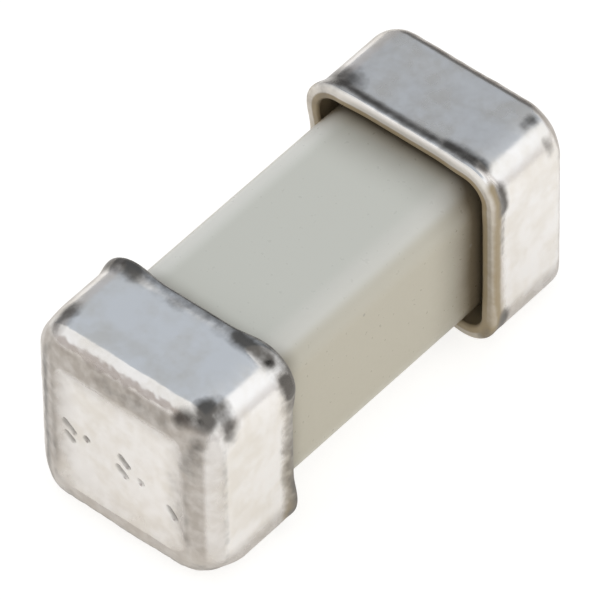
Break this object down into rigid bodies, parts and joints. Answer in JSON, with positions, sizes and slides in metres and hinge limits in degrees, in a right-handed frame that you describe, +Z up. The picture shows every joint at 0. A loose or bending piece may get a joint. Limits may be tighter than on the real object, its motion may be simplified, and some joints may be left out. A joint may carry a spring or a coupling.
{
  "type": "square ceramic surface-mount fuse",
  "caption": "Square ceramic surface-mount fuse: a ceramic tube closed by drawn metal end caps, with a fine wire link soldered across its bore.",
  "frame": {"origin": "middle of the fuse's footprint, on the surface that it rests on", "axes": "+X along the fuse from the left cap to the right one, +Y across it, +Z up from the board"},
  "size_m": [0.006, 0.0026, 0.0027],
  "materials": {
    "ceramic": "matte, grey-white fired ceramic",
    "cap_plate": "bright silvery plating, slightly wrinkled, dark at the corners",
    "solder": "dull grey solder",
    "fuse_wire": "fine plated wire"
  },
  "bodies": {
    "root": {"ceramic_body": "ceramic", "end_cap_left": "cap_plate", "end_cap_right": "cap_plate", "solder_left": "solder", "solder_right": "solder", "fuse_wire": "fuse_wire"}
  },
  "joints": []
}
